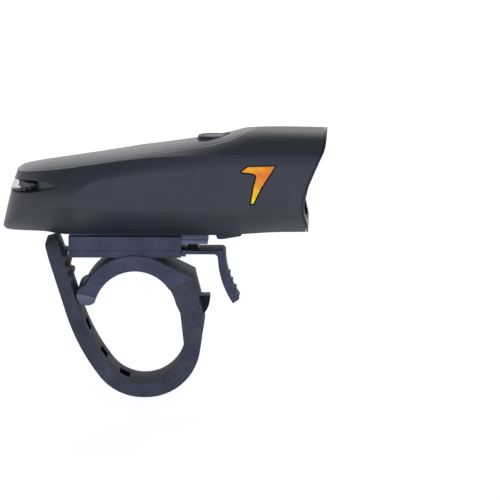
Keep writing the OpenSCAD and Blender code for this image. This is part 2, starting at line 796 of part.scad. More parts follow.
// From the cell's front contacts up to the board; lead_bow is how far they stand in front of the cell.
cell_lead_y = 3.7;
lead_bow = 2.4;
module battery_leads() {
    color(LEAD)
        at_lamp()
            translate([cell_front, 0, cell_z])
                for (y = cell_lead_y * [-1, 1])
                    wire([[fit_gap, y, 2], [lead_bow - 1.3, y, 2], [lead_bow - 0.4, y, 3],
                        [lead_bow, y, 5], [lead_bow, y, board_z - cell_z - fit_gap]], lead_r);
}
// From the board's front edge over the heat sink to the pads of the light source's board.
led_lead_y = 2.2;
lead_inset = 1.6;
pad_inset = 1.4;
module led_leads() {
    top = light_z + led_board_d / 2 + 3 * lead_r;
    pad = [bowl_back + lead_r + fit_gap, light_z + led_board_d / 2 - pad_inset];
    start = board_front - lead_inset;
    color(LEAD)
        at_lamp()
            for (y = led_lead_y * [-1, 1])
                wire([[start, y, board_top + fit_gap], [start, y, board_top + 2],
                    [start + 0.7, y, top - 1], [start + 2.2, y, top], [sink_front, y, top],
                    [bowl_back + 0.5, y, top - 0.5], [pad[0], y, pad[1] + 0.8], [pad[0], y, pad[1]]], lead_r);
}

// Crowned grey strip with the button's hole.
STRIP_ACROSS = 12;
module top_cover() {
    shares = [for (j = [0 : STRIP_ACROSS]) 2 * j / STRIP_ACROSS - 1];
    n = STRIP_ACROSS + 1;
    top = [for (x = strip_xs, k = shares)
        let (y = k * strip_edge(x)) [x, y, top_z(x, y)]];
    lift = (seal_t + fit_gap / 5) / cos(seat_slope);
    bottom = [for (x = strip_xs, k = shares) [x, k * strip_edge(x), seat_z(x) + lift]];
    low = len(top);
    cells = [for (c = [0 : len(strip_xs) - 2], j = [0 : STRIP_ACROSS - 1]) [c * n + j, c * n + j + 1]];
    edges = [for (c = [0 : len(strip_xs) - 2], j = [0, STRIP_ACROSS])
        let (a = c * n + j, b = a + n, f = quad(a, b, b + low, a + low))
        each j == 0 ? f : flipped(f)];
    ends = [for (j = [0 : STRIP_ACROSS - 1], c = [0, len(strip_xs) - 1])
        let (a = c * n + j, b = a + 1, f = quad(a, b, b + low, a + low))
        each c == 0 ? flipped(f) : f];
    color(STRIP)
        at_lamp()
            difference() {
                solid(concat(top, bottom), concat(
                    [for (q = cells) each quad(q[0], q[1], q[1] + n, q[0] + n)],
                    [for (q = cells) each quad(q[0] + low, q[0] + n + low, q[1] + n + low, q[1] + low)],
                    edges, ends));
                linear_extrude(far)
                    button_outline(slide_gap);
            }
}

// Rubber ring between the strip and its seat.
seal_inset = 0.5;
seal_w = 1.6;
module cover_seal() {
    color(RUBBER)
        at_lamp()
            difference() {
                strip_prism(seal_inset, 0, seal_t);
                strip_prism(seal_inset + seal_w, -1, seal_t + 1);
            }
}

module side_window_left() {
    color(AMBER)
        at_lamp()
            side_window(1);
}
module side_window_right() {
    color(AMBER)
        at_lamp()
            side_window(-1);
}

// Clear round-fronted lens in the rear mouth; its front leans back towards the top.
indicator_r = [7.9, 6.3];
indicator_middle = nose_x + 5.7;
module rear_indicator_lens() {
    color(CLEAR)
        at_lamp()
            difference() {
                intersection() {
                    mouth_wedge(fit_gap);
                    translate([indicator_middle, 0, mouth_low])
                        cylinder(r1 = indicator_r[0], r2 = indicator_r[1], h = mouth_high - mouth_low);
                }
                mouth_core();
            }
}

// Root of the release lever in front of the shoe.
root_l = 1.3;
lever_gap = 0.1;

// T-rail under the lamp, with a seat plate and a notch for the lever's catch.
rail_plate_t = 0.6;
rail_plate_edge = 0.5;
rail_end_wall = 1.6;
notch_l = 4.6;
notch_d = 1;
notch_back = max(rail_front - notch_l - 2, shoe_front + lever_gap + root_l + fit_gap);
notch_front = notch_back + notch_l;
screw_head = [4.4, 1.3];
screw_sink = 0.2;
module slide_foot() {
    color(ABS)
        at_lamp()
            difference() {
                union() {
                    box([rail_back, -rail_w / 2 - rail_plate_edge, -rail_plate_t],
                        [rail_front, rail_w / 2 + rail_plate_edge, 0]);
                    box([rail_back + rail_end_wall, -neck_w / 2, -rail_h], [rail_front, neck_w / 2, 0]);
                    box([rail_back + rail_end_wall, -rail_w / 2, -rail_h],
                        [rail_front, rail_w / 2, head_t - rail_h]);
                }
                box([notch_back, -catch_w / 2 - slide_gap, -rail_h - 1],
                    [notch_front, catch_w / 2 + slide_gap, notch_d - rail_h]);
                for (x = screw_xs)
                    translate([x, 0, -rail_h - 1]) {
                        cylinder(d = screw_d + 2 * fit_gap, h = rail_h + 2);
                        cylinder(d = screw_head[0] + 2 * fit_gap, h = 1 + screw_sink + screw_head[1]);
                    }
            }
}

// Two screws from under the rail into the floor, their heads sunk in it.
module foot_screws() {
    color(STEEL)
        at_lamp()
            for (x = screw_xs)
                translate([x, 0, screw_sink - rail_h]) {
                    cylinder(d = screw_head[0], h = screw_head[1]);
                    cylinder(d = screw_d, h = rail_h + floor_t - 2 * screw_sink);
                }
}

module power_button() {
    color("#43474a")
        at_lamp() {
            translate([0, 0, lip_bottom])
                linear_extrude(button_top - lip_bottom)
                    button_outline(0);
            translate([0, 0, lip_bottom])
                linear_extrude(lip_top - lip_bottom)
                    button_outline(button_lip);
            translate([button_x, 0, stem_bottom])
                cylinder(d = stem_d, h = lip_top - stem_bottom);
        }
}

// Rubber wedge that shuts the charging port, with a plug that goes into it.
plug_gap = 0.5;
plug_h = 0.6;
cover_depth = 2.1;
cover_edge = 0.8;
cover_corner = 0.6;
module usb_cover() {
    color(RUBBER)
        at_lamp() {
            across(cover_w)
                polygon([[cover_back, -cover_gap], [cover_back, cover_corner - cover_depth],
                    [cover_back + cover_corner, -cover_depth], [cover_back + 2, -cover_depth],
                    [cover_front, -cover_gap - cover_edge], [cover_front, -cover_gap]]);
            box([port_x - port_l / 2 + plug_gap, -port_w / 2 + plug_gap, -cover_gap - cover_edge / 2],
                [port_x + port_l / 2 - plug_gap, port_w / 2 - plug_gap, plug_h]);
        }
}

// Bracket: the saddle's two ends, the mitre where the strap's sleeve meets it, the tongue and the hook.
saddle_end = 33;
lip_angle = 161.3;
saddle_r = bar_r + saddle_wall;
lip_sink = 0.25;
lip_at = pol(bar_r + lip_r - lip_sink, lip_angle);
flat_angle = 62;
corner = pol(saddle_r + 3.5, 30.3);
mitre_at = pol(bar_r, saddle_end);
mitre_angle = 22.6;
tongue_w = 10;
tongue_t = 1.6;
tongue = [pol(bar_r + 2.4, saddle_end + 2), [bar_r + 3.4, 2], [bar_r + 4.4, -2.6]];
hook_w = 7;
hook_out = bar_r + 10.3;
hook_top = 3.95;
hook_bottom = -1.5;
hook_r = 7;
hook_nose = 0.8;
// Outer edge of the strap's sleeve, from the saddle's corner down.
sleeve_edge = [[bar_r + 8.2, -0.6], [bar_r + 8.5, -5]];
module tongue_profile(grow) {
    for (i = [0, 1])
        let (a = tongue[i], b = tongue[i + 1])
        translate(a)
            rotate(atan2(b[1] - a[1], b[0] - a[0]))
                translate([-grow, -tongue_t / 2 - grow])
                    square([norm(b - a) + 2 * grow, tongue_t + 2 * grow]);
}
// A claw with a flat top and a round front.
module hook_profile(grow) {
    intersection() {
        translate([hook_out - hook_r, hook_top - hook_nose])
            circle(r = hook_r + grow);
        translate([tongue[1][0], hook_bottom - grow])
            square([far, hook_top - hook_bottom + 2 * grow]);
    }
}
// Everything below the saddle's two ends.
module below_saddle() {
    polygon(concat([[0, 0], mitre_at, mitre_at + pol(far, mitre_angle)],
        [for (a = [-30, -90, -150]) pol(far, a)], [pol(far, lip_angle)]));
}

// Strap: the bottom bend, and on its left a long curve and the straight pull tab, which clear the lip.
tail_lean = 38;
tab_lean = 17.5;
function lean(a) = [-sin(a), cos(a)];
function outward(a) = [-cos(a), -sin(a)];
bend_in = bar_r;
bend_out = bar_r + strap_t;
bend_mid = bar_r + strap_t / 2;
sweep_from_bend = (bend_mid - tail_sweep) * outward(tail_lean);
sweep_z = sweep_from_bend[1] - bend_drop;
lip_room = tail_sweep - strap_t / 2 - lip_r - slide_gap;
sweep = [lip_at[0] + sqrt(lip_room^2 - (lip_at[1] - sweep_z)^2), sweep_z];
bend = sweep - sweep_from_bend;
tab_foot = sweep + tail_sweep * outward(tab_lean);
tab_l = (lamp_z - tab_gap - strap_t / 2 * sin(tab_lean) - tab_foot[1]) / cos(tab_lean);
tab_round = 1.2;
peg = [3.4, 6.4, 2];
flex_gap = 0.1;

// A place along the tail, measured up from the tab's foot: how much it leans there, and where it is.
sweep_l = tail_sweep * (tail_lean - tab_lean) * PI / 180;
bend_l = bend_mid * (90 - tail_lean) * PI / 180;
function tail_turn(s) = s >= 0 ? tab_lean :
    s > -sweep_l ? tab_lean - s / tail_sweep * 180 / PI :
    tail_lean - (s + sweep_l) / bend_mid * 180 / PI;
function tail_point(s) = s >= 0 ? tab_foot + s * lean(tab_lean) :
    s > -sweep_l ? sweep + tail_sweep * outward(tail_turn(s)) :
    bend + bend_mid * outward(tail_turn(s));
peg_along = (lip_at - tab_foot) * lean(tab_lean);

module bracket_base() {
    color(NYLON) {
        difference() {
            union() {
                across(saddle_w)
                    difference() {
                        union() {
                            circle(r = saddle_r);
                            polygon([pol(saddle_r, flat_angle), corner, sleeve_edge[0], [bar_r, 0],
                                pol(bar_r / 2, flat_angle)]);
                        }
                        below_saddle();
                    }
                across(saddle_w)
                    translate(lip_at)
                        circle(r = lip_r);
            }
            across(saddle_w + 2)
                circle(r = bar_r);
        }
        across(tongue_w)
            tongue_profile(0);
        across(hook_w)
            hook_profile(0);
        across(peg[1])
            translate(lip_at)
                rotate(180 + tab_lean)
                    translate([0, -peg[2] / 2])
                        square([lip_r + peg[0], peg[2]]);
        shoe();
    }
}

// Channel for the lamp's rail, closed at the rear, on a wider foot.
shoe_step = 2;
shoe_side = 0.5;
catch_w = 7;
module shoe() {
    difference() {
        union() {
            box([shoe_back, -shoe_w / 2, shoe_bottom],
                [shoe_front, shoe_w / 2, shoe_bottom + shoe_step]);
            box([shoe_back, -shoe_w / 2 + shoe_side, shoe_bottom],
                [shoe_front, shoe_w / 2 - shoe_side, shoe_top]);
        }
        box([shoe_back + rail_end_wall - slide_gap, -rail_w / 2 - slide_gap, lamp_z - rail_h - slide_gap],
            [far, rail_w / 2 + slide_gap, lamp_z - rail_h + head_t + slide_gap]);
        box([shoe_back + rail_end_wall - slide_gap, -neck_w / 2 - slide_gap, lamp_z - rail_h - slide_gap],
            [far, neck_w / 2 + slide_gap, far]);
        across(saddle_w)
            circle(r = bar_r);
    }
}

// Strap from the sleeve down to the bottom of the loop; it is stouter on the sleeve's side.
sleeve_swell = 1;
sleeve_gap = 0.2;
sleeve_in = 1.3;
module strap_band() {
    color(RUBBER)
        difference() {
            across(strap_w)
                polygon(concat(arc(bend, bend_in, 270, 360, 20),
                    [[bar_r + sleeve_in, -sleeve_in / 4], mitre_at, corner], sleeve_edge,
                    arc(bend + [sleeve_swell, 0], bend_out, 360, 270, 20), [bend - [0, bend_out]]));
            across(saddle_w + 2)
                circle(r = bar_r + sleeve_gap);
            across(saddle_w + 2)
                translate(mitre_at)
                    rotate(mitre_angle)
                        translate([-bar_r, -fit_gap])
                            square(far);
            across(tongue_w + 4 * fit_gap)
                tongue_profile(2 * fit_gap);
            across(hook_w + 4 * fit_gap)
                hook_profile(2 * fit_gap);
        }
}

// Strap from the bottom of the loop up to the pull tab, which has grip ridges on its inner side.
grip_r = 0.9;
grip_from_end = 6.5;
grip_pitch = 3.25;
grip_margin = 0;
module strap_tail() {
    color(RUBBER)
        difference() {
            union() {
                across(strap_w)
                    intersection() {
                        polygon(concat(tail_side(bend_in, tail_sweep - strap_t / 2), tab_end(),
                            reversed(tail_side(bend_out, tail_sweep + strap_t / 2))));
                        translate(bend - [far + flex_gap, far])
                            square([far, 2 * far]);
                    }
                across(strap_w - 2 * grip_margin)
                    for (i = [0 : 2])
                        translate(tail_point(tab_l - grip_from_end - i * grip_pitch))
                            translate(-outward(tab_lean) * strap_t / 2)
                                circle(r = grip_r);
            }
            across(slot_w)
                strap_slots();
            tab_corners();
        }
}
// What the rounded corners of the tab take away at its end.
tab_corner = 7;
module tab_corners() {
    at = tail_point(tab_l - tab_corner);
    for (side = [-1, 1])
        translate([at[0], side * (strap_w / 2 - tab_corner), at[1]])
            rotate([0, -tab_lean, 0])
                rotate([0, 90, 0])
                    difference() {
                        translate([-tab_corner - 1, side > 0 ? 0 : -tab_corner - 1, -strap_t])
                            cube([tab_corner + 1, tab_corner + 1, 2 * strap_t]);
                        cylinder(r = tab_corner, h = 4 * strap_t, center = true);
                    }
}
// One side of the tail from the bottom of the loop to the tab's foot, and the tab's rounded end.
function tail_side(r_bend, r_sweep) = concat(arc(bend, r_bend, 270, 180 + tail_lean, 14),
    arc(sweep, r_sweep, 180 + tail_lean, 180 + tab_lean, 8));
function tab_end() =
    let (end = tail_point(tab_l - tab_round), out = outward(tab_lean) * (strap_t / 2 - tab_round))
    concat(arc(end - out, tab_round, tab_lean, tab_lean + 90, 5),
        arc(end + out, tab_round, tab_lean + 90, tab_lean + 180, 5));
function reversed(list) = [for (i = [len(list) - 1 : -1 : 0]) list[i]];
// Windows through the strap, counted down from the one on the peg.
module strap_slots() {
    for (s = [peg_along : -slot_pitch : slot_l - sweep_l - bend_l])
        translate(tail_point(s))
            rotate(tail_turn(s))
                square([strap_t + 2, slot_l], center = true);
}

// Sprung lever: a root on the shoe, a thin arm with the catch on it, and a thumb piece that curves
// forward and has grip ridges on its front.
thumb_t = 2.3;
thumb_curve = 25.6;
knee_r = 1.2;
knee = [shoe_front + lever_reach, shoe_bottom + 1.7];
thumb_grip_r = 0.45;
thumb_grip_from = 7.4;
thumb_grip_pitch = 2.6;
catch_lead = 1.4;
module release_lever() {
    arm_bottom = knee[1] - lever_t;
    thumb_back = knee[0] - thumb_t;
    middle = knee + [thumb_curve - thumb_t / 2, -knee_r];
    root_x = shoe_front + lever_gap;
    catch_top = lamp_z - rail_h - slide_gap;
    catch_back = notch_back + slide_gap;
    catch_front = notch_front - slide_gap;
    function thumb_angle(l) = 180 + l / thumb_curve * 180 / PI;
    color(NYLON) {
        across(lever_w) {
            translate([root_x, shoe_bottom])
                square([root_l, shoe_step]);
            translate([root_x, arm_bottom])
                square([knee[0] - knee_r - root_x, lever_t]);
            translate([thumb_back, knee[1] - knee_r])
                square([thumb_t - knee_r, knee_r]);
            translate(knee - [knee_r, knee_r])
                circle(r = knee_r);
            translate([thumb_back - knee_r, arm_bottom - knee_r])
                difference() {
                    square(knee_r);
                    circle(r = knee_r);
                }
            ring_part(middle, thumb_curve - thumb_t / 2, thumb_curve + thumb_t / 2,
                180, thumb_angle(thumb_l));
            for (i = [0 : 2])
                translate(middle + pol(thumb_curve - thumb_t / 2,
                    thumb_angle(thumb_grip_from + i * thumb_grip_pitch)))
                    circle(r = thumb_grip_r);
        }
        across(catch_w)
            polygon([[catch_back, arm_bottom + lever_t / 2], [catch_front, arm_bottom + lever_t / 2],
                [catch_front - catch_lead, catch_top], [catch_back, catch_top]]);
    }
}

housing();
front_bezel();
front_lens();
lens_gasket();
reflector();
led_board();
led_emitter();
heat_sink();
battery_cell();
battery_cradle();
circuit_board();
board_screws();
tact_switch();
usb_socket();
status_leds();
battery_leads();
led_leads();
top_cover();
cover_seal();
side_window_left();
side_window_right();
rear_indicator_lens();
slide_foot();
foot_screws();
power_button();
usb_cover();
bracket_base();
strap_band();
strap_tail();
release_lever();
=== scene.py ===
# Bike headlight on a quick-release handlebar bracket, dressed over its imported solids.
# The frame's origin is on the handlebar's axis, X points forward and Z up, in metres.
import math

import bpy
import bmesh
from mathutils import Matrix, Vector


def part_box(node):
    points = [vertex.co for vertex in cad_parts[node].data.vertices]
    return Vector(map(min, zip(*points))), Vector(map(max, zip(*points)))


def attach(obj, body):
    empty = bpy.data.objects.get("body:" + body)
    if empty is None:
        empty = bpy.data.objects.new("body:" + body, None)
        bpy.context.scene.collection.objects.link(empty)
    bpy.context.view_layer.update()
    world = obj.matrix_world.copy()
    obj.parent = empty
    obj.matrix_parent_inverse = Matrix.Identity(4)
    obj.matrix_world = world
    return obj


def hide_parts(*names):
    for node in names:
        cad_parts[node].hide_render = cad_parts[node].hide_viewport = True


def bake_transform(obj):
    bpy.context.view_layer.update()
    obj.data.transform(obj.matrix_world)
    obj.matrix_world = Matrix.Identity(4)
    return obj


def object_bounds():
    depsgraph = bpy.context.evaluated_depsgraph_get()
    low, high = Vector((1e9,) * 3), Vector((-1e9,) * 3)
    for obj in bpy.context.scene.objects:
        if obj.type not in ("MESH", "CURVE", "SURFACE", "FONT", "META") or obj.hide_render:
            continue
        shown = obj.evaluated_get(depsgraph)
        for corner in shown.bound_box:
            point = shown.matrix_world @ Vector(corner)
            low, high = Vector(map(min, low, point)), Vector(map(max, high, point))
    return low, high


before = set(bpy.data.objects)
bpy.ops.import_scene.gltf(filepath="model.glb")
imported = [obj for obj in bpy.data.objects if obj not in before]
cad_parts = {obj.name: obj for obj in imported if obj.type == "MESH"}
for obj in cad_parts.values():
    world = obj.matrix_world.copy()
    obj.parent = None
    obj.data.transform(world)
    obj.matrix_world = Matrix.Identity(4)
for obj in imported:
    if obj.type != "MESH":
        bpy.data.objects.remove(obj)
cad_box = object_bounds()
scene = bpy.context.scene
scene.view_settings.view_transform = "Standard"
MM = 0.001


# Camera: a long lens almost level with the lamp's side, a little above it and towards its front.
# The picture is centred in front of the lamp, where the photograph has its middle.
AZIMUTH = math.radians(1.15)
ELEVATION = math.radians(9.2)
DISTANCE = 2.0
FIELD = 155.4 * MM
SENSOR = 36.0
PICTURE_MIDDLE = Vector((35.25, 4.92, 17.0)) * MM

to_camera = Vector((
    math.sin(AZIMUTH) * math.cos(ELEVATION),
    -math.cos(AZIMUTH) * math.cos(ELEVATION),
    math.sin(ELEVATION),
))
bpy.ops.object.camera_add(location=PICTURE_MIDDLE + to_camera * DISTANCE)
camera = bpy.context.object
camera.rotation_euler = (-to_camera).to_track_quat("-Z", "Y").to_euler()
camera.data.sensor_width = SENSOR
camera.data.lens = SENSOR * DISTANCE / FIELD
camera.data.clip_end = 50
scene.camera = camera


# Studio: a white paper floor, low enough for the strap to be let down, white paper standing behind and
# on the left, a dim room in front under a dark ceiling, and two cool soft boxes, in front and behind.
# Floor and paper show white to the camera and through clear pieces; gloss sees the floor's shaded middle.
def linear(colour):
    """Linear RGBA of an sRGB hex colour such as 1b1d1f."""
    values = [int(colour[i:i + 2], 16) / 255 for i in (0, 2, 4)]
    return [v / 12.92 if v <= 0.04045 else ((v + 0.055) / 1.055) ** 2.4 for v in values] + [1]


def add(tree, kind, inputs=None, **settings):
    """Adds a node; an input takes a plain value or another node's output."""
    made = tree.nodes.new(kind)
    for name, value in settings.items():
        setattr(made, name, value)
    for name, value in (inputs or {}).items():
        if isinstance(value, bpy.types.NodeSocket):
            tree.links.new(value, made.inputs[name])
        else:
            made.inputs[name].default_value = value
    return made


PAPER = 1.0
ROOM = 0.3
CEILING = 0.26
PAPER_TOP = math.sin(math.radians(38))
CEILING_EDGE = math.sin(math.radians(62))
PAPER_SIDES = 0.35
PAPER_LEFT = 0.7
AMBIENT = 0.36
world = bpy.data.worlds.new("studio")
scene.world = world
world.use_nodes = True
tree = world.node_tree
tree.nodes.clear()
path = add(tree, "ShaderNodeLightPath")
looking = add(tree, "ShaderNodeTexCoord").outputs["Generated"]
direction = add(tree, "ShaderNodeSeparateXYZ", {"Vector": looking})
behind = add(tree, "ShaderNodeMath", {
    0: direction.outputs["X"], 1: -PAPER_LEFT, 2: direction.outputs["Y"],
}, operation="MULTIPLY_ADD")
walls = add(tree, "ShaderNodeMapRange", {
    "Value": behind.outputs[0], "From Min": -PAPER_SIDES, "From Max": PAPER_SIDES,
    "To Min": ROOM, "To Max": PAPER,
}, interpolation_type="SMOOTHSTEP")
share = add(tree, "ShaderNodeMapRange", {
    "Value": direction.outputs["Z"], "From Min": PAPER_TOP, "From Max": CEILING_EDGE,
}, interpolation_type="SMOOTHSTEP")
room = add(tree, "ShaderNodeMix", {
    "Factor": share.outputs["Result"], "A": walls.outputs["Result"], "B": CEILING,
}).outputs["Result"]
soft = add(tree, "ShaderNodeMath", {0: room, 1: AMBIENT}, operation="MULTIPLY").outputs[0]
lit = add(tree, "ShaderNodeMix", {
    "Factor": path.outputs["Is Glossy Ray"], "A": soft, "B": room,
}).outputs["Result"]
straight = add(tree, "ShaderNodeMath", {
    0: path.outputs["Is Camera Ray"], 1: path.outputs["Is Transmission Ray"],
}, operation="MAXIMUM").outputs[0]
level = add(tree, "ShaderNodeMix", {"Factor": straight, "A": lit, "B": 1.0}).outputs["Result"]
sky = add(tree, "ShaderNodeBackground", {"Color": linear("ffffff"), "Strength": level})
add(tree, "ShaderNodeOutputWorld", {"Surface": sky.outputs[0]})

FLOOR_SIZE = 6.0
FLOOR_DROP = 9 * MM
FLOOR_GLOW = 0.76
SHADE_FROM = 15 * MM
SHADE_TO = 48 * MM
SHADE_SHAPE = 0.25
bpy.ops.mesh.primitive_plane_add(size=FLOOR_SIZE, location=(0, 0, cad_box[0][2] - FLOOR_DROP))
floor = bpy.context.object
floor.name = "floor"
paper = bpy.data.materials.new("white_paper")
paper.use_nodes = True
tree = paper.node_tree
tree.nodes.clear()
path = add(tree, "ShaderNodeLightPath")
matt = add(tree, "ShaderNodeBsdfDiffuse", {"Color": linear("e6e6e6")})
across = add(tree, "ShaderNodeVectorMath", {
    0: add(tree, "ShaderNodeTexCoord").outputs["Object"], 1: (1, SHADE_SHAPE, 0),
}, operation="MULTIPLY")
away = add(tree, "ShaderNodeVectorMath", {0: across.outputs[0]}, operation="LENGTH")
open_floor = add(tree, "ShaderNodeMapRange", {
    "Value": away.outputs["Value"], "From Min": SHADE_FROM, "From Max": SHADE_TO, "To Max": FLOOR_GLOW,
}, interpolation_type="SMOOTHSTEP")
mirrored = path.outputs["Is Glossy Ray"]
strength = add(tree, "ShaderNodeMix", {
    "Factor": mirrored, "A": FLOOR_GLOW, "B": open_floor.outputs["Result"],
}).outputs["Result"]
glow = add(tree, "ShaderNodeEmission", {"Color": linear("ffffff"), "Strength": strength})
lit = add(tree, "ShaderNodeAddShader", {0: matt.outputs[0], 1: glow.outputs[0]})
straight = add(tree, "ShaderNodeMath", {
    0: path.outputs["Is Camera Ray"], 1: path.outputs["Is Transmission Ray"],
}, operation="MAXIMUM")
seen = add(tree, "ShaderNodeMath", {0: straight.outputs[0], 1: mirrored}, operation="MAXIMUM")
mixed = add(tree, "ShaderNodeMixShader", {0: seen.outputs[0], 1: matt.outputs[0], 2: lit.outputs[0]})
add(tree, "ShaderNodeOutputMaterial", {"Surface": mixed.outputs[0]})
floor.data.materials.append(paper)

AIM = Vector((10, 0, 20)) * MM
BOX_SIZE = 0.8
BOXES = (
    ("front_box", Vector((0.1, -1.4, 0.2)), 23.0, "c4d3ff"),
    ("back_box", Vector((0.3, 1.4, 0.1)), 15.0, "e6ecff"),
)
for name, at, energy, colour in BOXES:
    bpy.ops.object.light_add(type="AREA", location=at)
    light = bpy.context.object
    light.name = name
    light.data.size = BOX_SIZE
    light.data.energy = energy
    light.data.color = linear(colour)[:3]
    light.visible_glossy = False
    light.rotation_euler = (AIM - at).to_track_quat("-Z", "Y").to_euler()


# Bracket: saddle, lip, shoe, tongue and hook are one moulding in glass-filled nylon.
# Nylon comes out of the tool dull and dark, with edges softened by the tool's radii. The lip's lower half
# is drafted back and coloured paler; the hook, which the strap slides over, is smooth and painted
# near-black as shade.
def alone(piece):
    """Leaves only this piece selected and active."""
    bpy.ops.object.select_all(action="DESELECT")
    piece.select_set(True)
    bpy.context.view_layer.objects.active = piece


MERGE = 0.002 * MM
FLAT = math.radians(0.5)


def copied(node, name):
    """A merged copy of a solid's mesh, ready to be finished."""
    piece = bpy.data.objects.new(name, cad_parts[node].data.copy())
    scene.collection.objects.link(piece)
    piece.data.materials.clear()
    alone(piece)
    bpy.ops.mesh.customdata_custom_splitnormals_clear()
    bpy.ops.object.mode_set(mode="EDIT")
    bpy.ops.mesh.select_all(action="SELECT")
    bpy.ops.mesh.remove_doubles(threshold=MERGE)
    bpy.ops.object.mode_set(mode="OBJECT")
    return piece


def flattened(piece):
    """Joins the triangles of each flat face into one face."""
    alone(piece)
    bpy.ops.object.mode_set(mode="EDIT")
    bpy.ops.mesh.select_all(action="SELECT")
    bpy.ops.mesh.dissolve_limited(angle_limit=FLAT)
    bpy.ops.object.mode_set(mode="OBJECT")
    return piece


def softened(piece, radius, smooth=40, sharp=30, segments=3):
    """Rounds the sharp edges of a piece by a moulding radius and shades the rest smooth."""
    flattened(piece)
    rounding = piece.modifiers.new("edges", "BEVEL")
    rounding.width = radius
    rounding.segments = segments
    rounding.limit_method = "ANGLE"
    rounding.angle_limit = math.radians(sharp)
    bpy.ops.object.modifier_apply(modifier=rounding.name)
    bpy.ops.object.shade_smooth_by_angle(angle=math.radians(smooth))
    return piece


def begun(name, ior, specular=0.5):
    """A new material, with its node tree, its shader and the piece's own coordinates."""
    made = bpy.data.materials.new(name)
    made.use_nodes = True
    tree = made.node_tree
    shader = tree.nodes["Principled BSDF"]
    shader.inputs["IOR"].default_value = ior
    shader.inputs["Specular IOR Level"].default_value = specular
    return made, tree, shader, add(tree, "ShaderNodeTexCoord").outputs["Object"]


CLOUD = 9 * MM
NOISE_SPREAD = (0.6, 1.4)
SHEEN_SPREAD = 0.12
GRAIN_STRENGTH = 0.5


def surface(name, colour, roughness, grain, depth, ior=1.5, specular=0.5, metallic=0.0, mottle=0.06):
    """A material whose colour varies in clouds and in its grain, which also breaks the sheen.
    grain is the width of the grain, drawn about twice as coarse as the real one so that it shows,
    depth is its height, and mottle is how far the colour strays either way."""
    made, tree, shader, place = begun(name, ior, specular)
    shader.inputs["Metallic"].default_value = metallic
    cloud = add(tree, "ShaderNodeTexNoise", {"Vector": place, "Scale": 1 / CLOUD, "Detail": 2.0})
    dark = [c * (1 - mottle) for c in linear(colour)[:3]] + [1]
    pale = [c * (1 + mottle) for c in linear(colour)[:3]] + [1]
    fine = add(tree, "ShaderNodeTexNoise", {"Vector": place, "Scale": 1 / grain, "Detail": 3.0})
    both = add(tree, "ShaderNodeMath", {0: cloud.outputs["Fac"], 1: fine.outputs["Fac"]}, operation="ADD")
    share = add(tree, "ShaderNodeMapRange", {
        "Value": both.outputs[0], "From Min": NOISE_SPREAD[0], "From Max": NOISE_SPREAD[1],
    })
    tone = add(tree, "ShaderNodeMix", {
        "Factor": share.outputs["Result"], "A": dark, "B": pale,
    }, data_type="RGBA")
    rough = add(tree, "ShaderNodeMapRange", {
        "Value": fine.outputs["Fac"],
        "To Min": roughness * (1 - SHEEN_SPREAD), "To Max": roughness * (1 + SHEEN_SPREAD),
    })
    bump = add(tree, "ShaderNodeBump", {
        "Height": fine.outputs["Fac"], "Strength": GRAIN_STRENGTH, "Distance": depth,
    })
    tree.links.new(tone.outputs["Result"], shader.inputs["Base Color"])
    tree.links.new(rough.outputs["Result"], shader.inputs["Roughness"])
    tree.links.new(bump.outputs["Normal"], shader.inputs["Normal"])
    return made


def dressed(piece, body, node, slot, *materials):
    """Gives a finished copy its materials and its body, and hides the solid it stands for; slot is not
    used.
    """
    for material in materials:
        piece.data.materials.append(material)
    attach(piece, body)
    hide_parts(node)


NYLON_IOR = 1.53
NYLON_GRAIN = 0.5 * MM
nylon = surface("glass_filled_nylon", "4c4d52", 0.7, NYLON_GRAIN, 0.06 * MM,
                ior=NYLON_IOR, specular=0.2, mottle=0.45)
# A near-black copy of the nylon: painted shade for the hook and the lever's catch, which lie in shade.
painted_shade_nylon = surface("painted_shade_nylon", "0e0f12", 0.55, NYLON_GRAIN, 0.01 * MM,
                         ior=NYLON_IOR, specular=0.2)
# A paler nylon for the drafted lower half of the lip.
pale_lip_nylon = surface("pale_lip_nylon", "6c6d72", 0.5, NYLON_GRAIN, 0.06 * MM,
                       ior=NYLON_IOR, specular=0.4, mottle=0.3)
BRACKET_EDGE = 0.5 * MM
LIP_DRAFT_TOP = 5.1 * MM
LIP_DRAFT_END = 1.9 * MM
LIP_DRAFT = 1.1 * MM
LIP_DRAFT_STEP = 0.02 * MM
CUT = 0.001 * MM
LIP_SLOPE = (-0.5, -0.15)
SIDEWAYS = 0.85
bracket = copied("bracket_base", "bracket")
bracket_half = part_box("bracket_base")[1].y
for side in (-1, 1):
    bpy.ops.object.mode_set(mode="EDIT")
    bpy.ops.mesh.select_all(action="SELECT")
    bpy.ops.mesh.bisect(
        plane_co=(0, side * (bracket_half - LIP_DRAFT_STEP), LIP_DRAFT_TOP),
        plane_no=(0, side * (LIP_DRAFT_TOP - LIP_DRAFT_END), -LIP_DRAFT),
        use_fill=True, clear_outer=True, threshold=CUT)
    bpy.ops.object.mode_set(mode="OBJECT")
softened(bracket, BRACKET_EDGE)
dressed(bracket, "bracket", "bracket_base", "nylon_black", nylon, painted_shade_nylon, pale_lip_nylon)
HOOK_HALF = 3.7 * MM
HOOK_FROM = 17.5 * MM
HOOK_TOP = 5 * MM
# The hook's faces are known by their place and take the painted shade, the lip's drafted faces by their
# tilt and take the paler colour.
for face in bracket.data.polygons:
    at = face.center
    if abs(at.y) < HOOK_HALF and at.x > HOOK_FROM and at.z < HOOK_TOP:
        face.material_index = 1
    slope = face.normal.z
    if abs(face.normal.y) > SIDEWAYS and LIP_SLOPE[0] < slope < LIP_SLOPE[1] and at.z < LIP_DRAFT_TOP:
        face.material_index = 2
